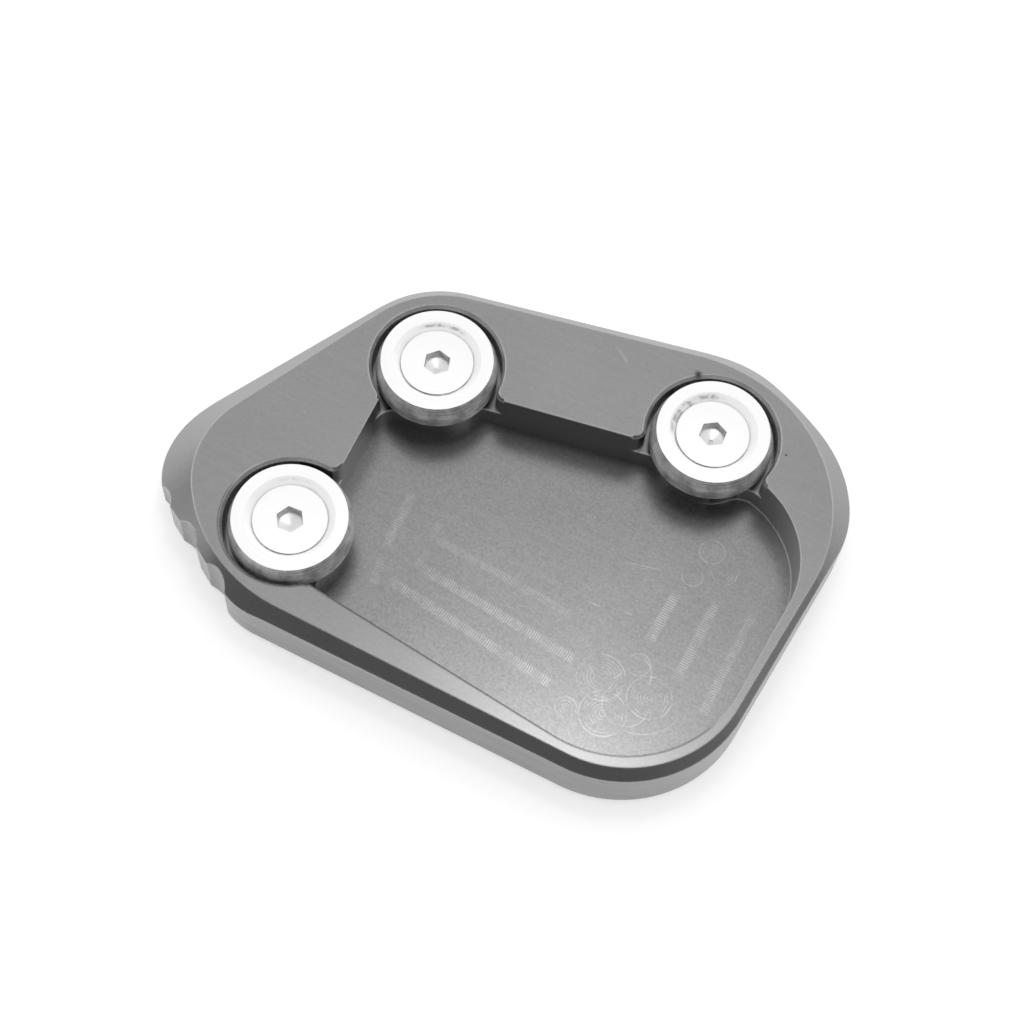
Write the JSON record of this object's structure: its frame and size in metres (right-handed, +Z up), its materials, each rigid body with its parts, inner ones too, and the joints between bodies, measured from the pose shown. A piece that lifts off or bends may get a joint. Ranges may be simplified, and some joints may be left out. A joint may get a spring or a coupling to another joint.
{
  "type": "kickstand foot enlarger",
  "caption": "Bevelled metal plate with a milled pocket that takes a motorbike stand's foot, held down by tapered clamp washers and countersunk screws.",
  "frame": {"origin": "middle of the underside, under the centre of the plate's box, on the ground that the plate stands on", "axes": "+X along the long straight front edge towards the end with no washer in front, +Y from the front edge to the back, +Z up, out of the pocket"},
  "size_m": [0.1048, 0.0786, 0.0139],
  "materials": {
    "anodised_plate": "satin titanium-grey anodised, milled",
    "pale_turned": "fine turned, bright",
    "pale_screw": "satin stainless"
  },
  "bodies": {
    "root": {"base_plate": "anodised_plate", "clamp_washer_front_left": "pale_turned", "clamp_washer_back_left": "pale_turned", "clamp_washer_back_right": "pale_turned", "socket_screw_front_left": "pale_screw", "socket_screw_back_left": "pale_screw", "socket_screw_back_right": "pale_screw"}
  },
  "joints": []
}
